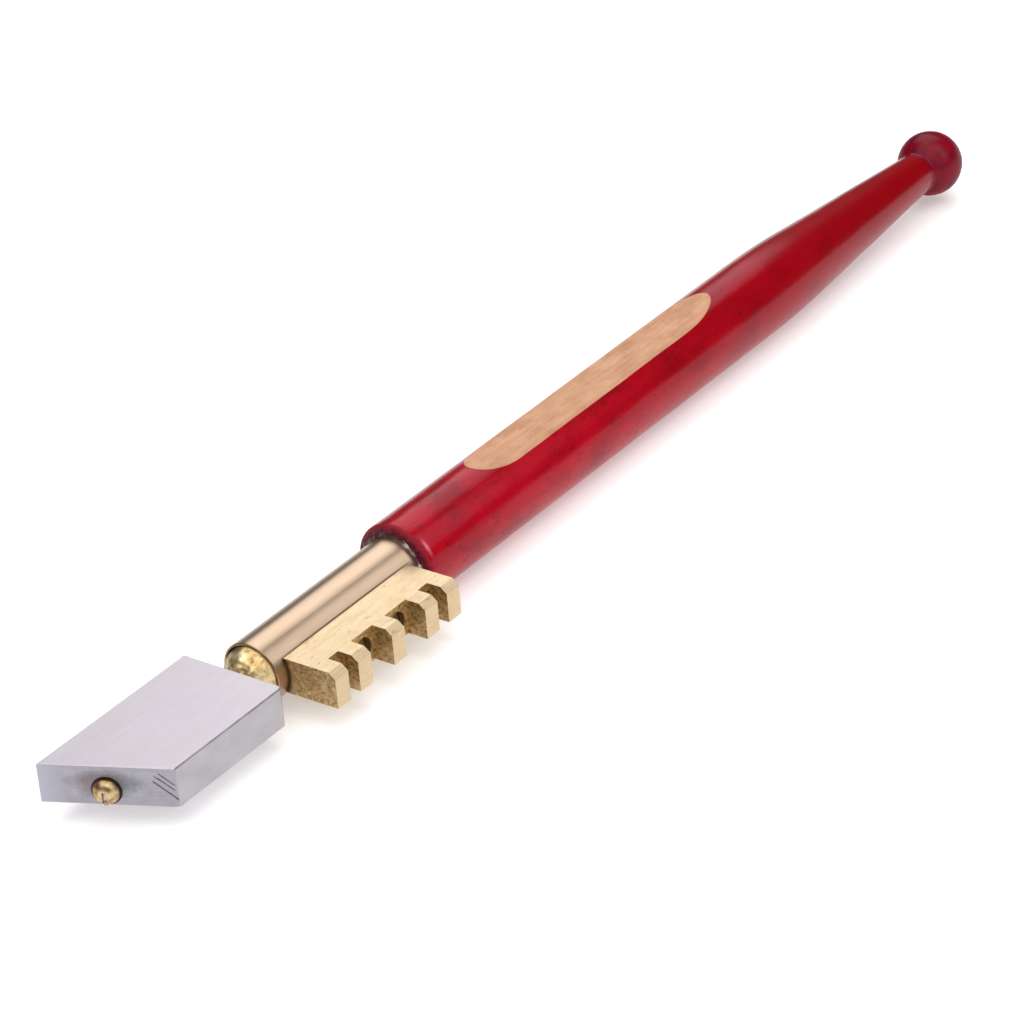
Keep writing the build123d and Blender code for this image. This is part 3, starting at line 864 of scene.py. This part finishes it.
def build_floor():
    """A large plain floor just under the handle."""
    shape = bmesh.new()
    bmesh.ops.create_grid(shape, x_segments=2, y_segments=2, size=2.5)
    drop = Matrix.Translation((0, 0, HANDLE_LOW.z - 0.02 * MM))
    bmesh.ops.transform(shape, matrix=drop, verts=shape.verts)
    floor = bpy.data.objects.new("floor", to_mesh("floor", shape))
    floor.data.materials.append(studio_floor())
    bpy.context.scene.collection.objects.link(floor)


def softbox(name, direction, distance, size, radiance, across=(1, 0, 0), target=(0, 0, 0)):
    """A rectangular soft light that faces the target, its first side lying along across."""
    light = bpy.data.lights.new(name, "AREA")
    light.shape = "RECTANGLE"
    light.size, light.size_y = size
    light.energy = radiance * math.pi * size[0] * size[1]
    lamp = bpy.data.objects.new(name, light)
    aim = Vector(direction).normalized()
    side = Vector(across)
    side = (side - aim * side.dot(aim)).normalized()
    turn = Matrix((side, aim.cross(side), aim)).transposed().to_4x4()
    lamp.matrix_world = Matrix.Translation(Vector(target) + aim * distance) @ turn
    bpy.context.scene.collection.objects.link(lamp)


def build_world():
    """An even pale surround."""
    world = bpy.data.worlds.new("studio")
    world.use_nodes = True
    background = world.node_tree.nodes["Background"]
    background.inputs["Color"].default_value = (1.0, 0.985, 0.98, 1)
    background.inputs["Strength"].default_value = 0.085
    bpy.context.scene.world = world


def build_camera():
    """A long lens, looking down past the head along the tool, rolled a few degrees."""
    lens = bpy.data.cameras.new("camera")
    lens.sensor_width = 36
    lens.lens = 142.6
    lens.clip_start = 0.01
    camera = bpy.data.objects.new("camera", lens)
    ahead = Vector((0.68852, 0.53399, -0.49071)).normalized()
    right = Vector((0.57722, -0.81314, -0.07496)).normalized()
    above = right.cross(ahead)
    turn = Matrix((right, above, -ahead)).transposed().to_4x4()
    camera.matrix_world = Matrix.Translation((-0.31447, -0.25285, 0.22963)) @ turn
    bpy.context.scene.collection.objects.link(camera)
    bpy.context.scene.camera = camera


METAL = ground_metal()
FACE = stained_face()
MARK = file_mark()
MILLED = milled_brass()
SAWN = sawn_brass()
DRILLED = drilled_brass()
CAST = cast_brass()
LACQUER = red_lacquer()
BALL = ball_lacquer()
WOOD = bare_wood()
END_GRAIN = dark_end_grain()
GLUE = dried_glue()

build_head()
build_comb()
build_handle()
build_nose()
build_glue()
finish_node("ferrule_tube", drawn_brass())
finish_node("setting_stud", turned_brass())
finish_node("diamond", rough_diamond())
for node, name, dark, light, rough in (
    ("setting_solder", "dark_solder", (0.02, 0.016, 0.014), (0.12, 0.10, 0.09), 0.6),
    ("swivel_stem", "stem_steel", (0.30, 0.29, 0.28), (0.55, 0.54, 0.53), 0.35),
    ("swivel_stop_screw", "screw_steel", (0.20, 0.19, 0.18), (0.45, 0.44, 0.43), 0.45),
    ("stem_spring", "spring_steel", (0.35, 0.35, 0.36), (0.60, 0.60, 0.62), 0.25),
    ("comb_screws", "dull_brass_screw", (0.16, 0.09, 0.03), (0.40, 0.26, 0.10), 0.45),
):
    finish_node(node, mottled_metal(name, dark, light, rough))
braze = mottled_metal("silver_braze", (0.34, 0.25, 0.20), (0.78, 0.62, 0.54), 0.4, 2600)
finish_node("diamond_braze", braze)

build_floor()
build_world()
softbox("overhead", (-0.25, -0.05, 1.0), 1.3, (1.8, 1.8), 1.9)
softbox("right", (-0.1, -0.85, 0.5), 1.2, (1.2, 0.8), 1.1)
softbox("behind", (0.62, 0.36, 0.67), 0.75, (0.62, 0.42), 2.05, across=(0, -0.88, 0.47))
softbox("ferrule_card", (0.65, -0.50, 0.57), 0.3, (0.06, 0.20), 2.8, target=(-0.028, 0, 0))
build_camera()
bpy.context.scene.view_settings.view_transform = "Standard"
